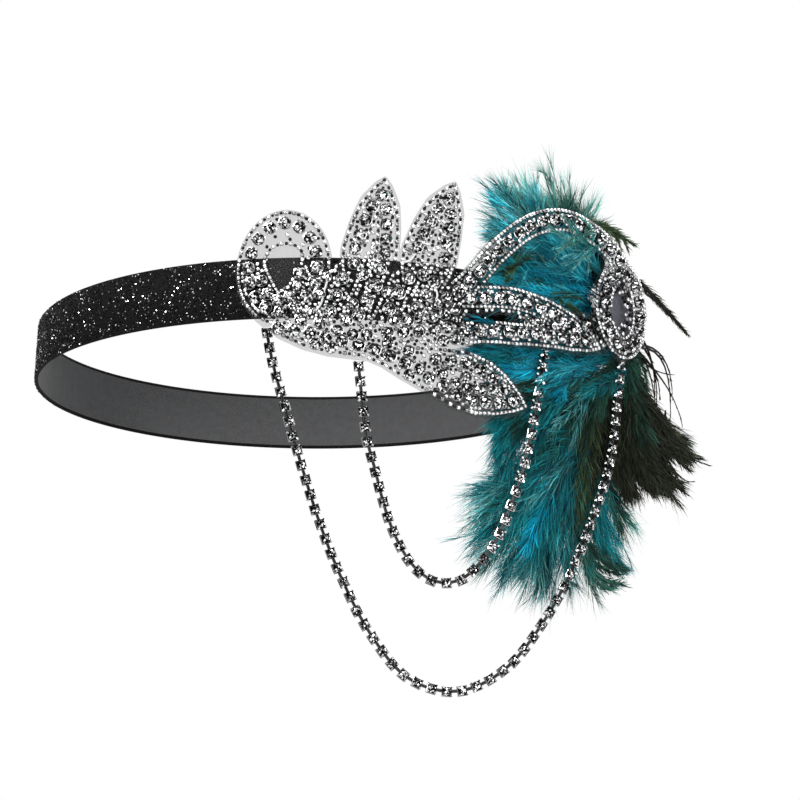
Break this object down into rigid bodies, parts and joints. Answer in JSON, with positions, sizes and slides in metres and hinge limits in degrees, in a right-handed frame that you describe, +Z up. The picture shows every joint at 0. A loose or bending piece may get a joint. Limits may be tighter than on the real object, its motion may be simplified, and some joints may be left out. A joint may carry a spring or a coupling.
{
  "type": "flapper feather headband",
  "caption": "Oval elastic headband with a leaf-shaped rhinestone applique on sheer cloth, two hanging cup chains and a bunch of teal and dark feathers at one side.",
  "frame": {"origin": "centre of the band's loop at the middle of its height, where the wearer's head fills it", "axes": "+Z up as worn, +X along the loop's longest extent, -Y the side that carries the applique, whose feathers lie towards +X"},
  "size_m": [0.2261, 0.1655, 0.1749],
  "materials": {
    "elastic": "black elastic with silver glitter outside, plain dark grey inside",
    "organza": "sheer white cloth",
    "rhinestone": "foiled clear stones in bright silver settings",
    "cup_chain": "bright silver cups with clear foiled stones",
    "teal_feather": "fluffy dyed teal feathers with olive tips",
    "dark_feather": "green-black hackle feathers"
  },
  "bodies": {
    "root": {"elastic_band": "elastic", "applique_backing": "organza", "left_eye_stones": "rhinestone", "right_eye_stones": "rhinestone", "tall_leaf_stones": "rhinestone", "second_leaf_stones": "rhinestone", "middle_leaf_stones": "rhinestone", "lower_leaf_stones": "rhinestone", "keel_stones": "rhinestone", "arch_stones": "rhinestone", "finger_stones_1": "rhinestone", "finger_stones_2": "rhinestone", "finger_stones_3": "rhinestone", "finger_stones_4": "rhinestone", "finger_stones_5": "rhinestone", "inner_chain": "cup_chain", "outer_chain": "cup_chain", "teal_plume": "teal_feather", "dark_hackle": "dark_feather"}
  },
  "joints": []
}
